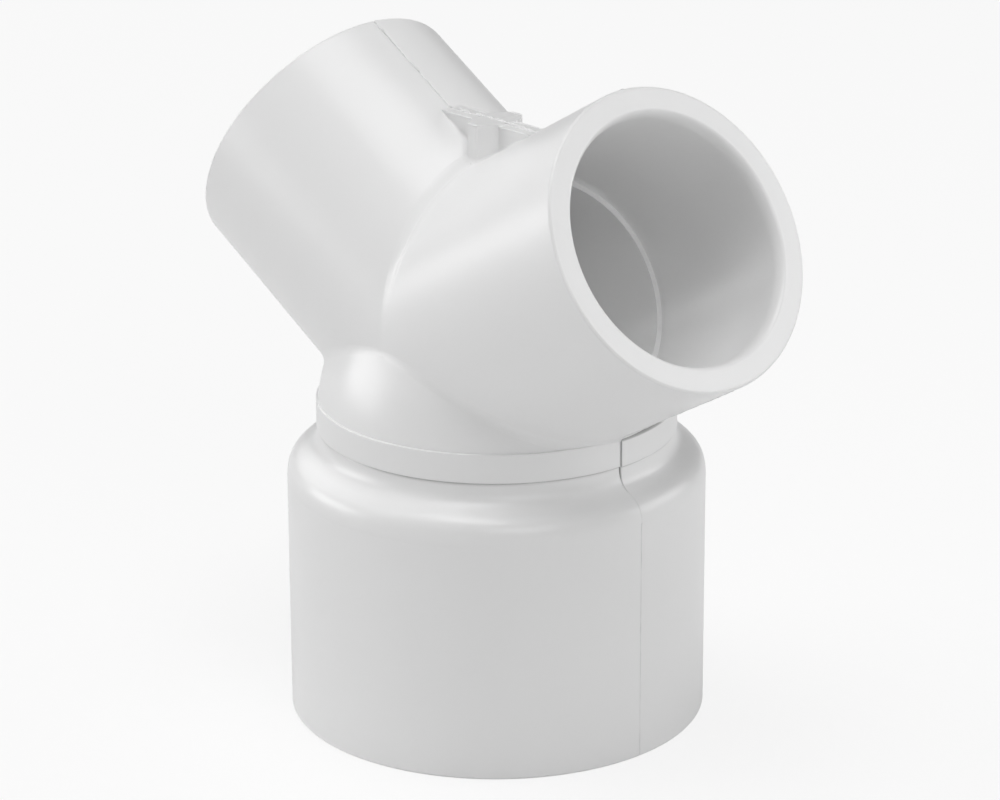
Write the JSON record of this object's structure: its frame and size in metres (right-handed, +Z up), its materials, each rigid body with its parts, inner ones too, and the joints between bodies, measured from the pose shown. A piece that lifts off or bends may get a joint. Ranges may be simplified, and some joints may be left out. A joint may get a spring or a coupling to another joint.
{
  "type": "wye pipe fitting",
  "caption": "Moulded plastic wye: a large upright slip socket below, a domed body and smaller slip sockets branching up to either side.",
  "frame": {"origin": "centre of the lower socket's mouth, on the plane it stands on", "axes": "+Z up the lower socket's axis, the two branches in the XZ plane towards +X and -X"},
  "size_m": [0.09, 0.0572, 0.0918],
  "materials": {
    "white_plastic": "smooth moulded, satin to gloss"
  },
  "bodies": {
    "root": {"wye_body": "white_plastic"}
  },
  "joints": []
}
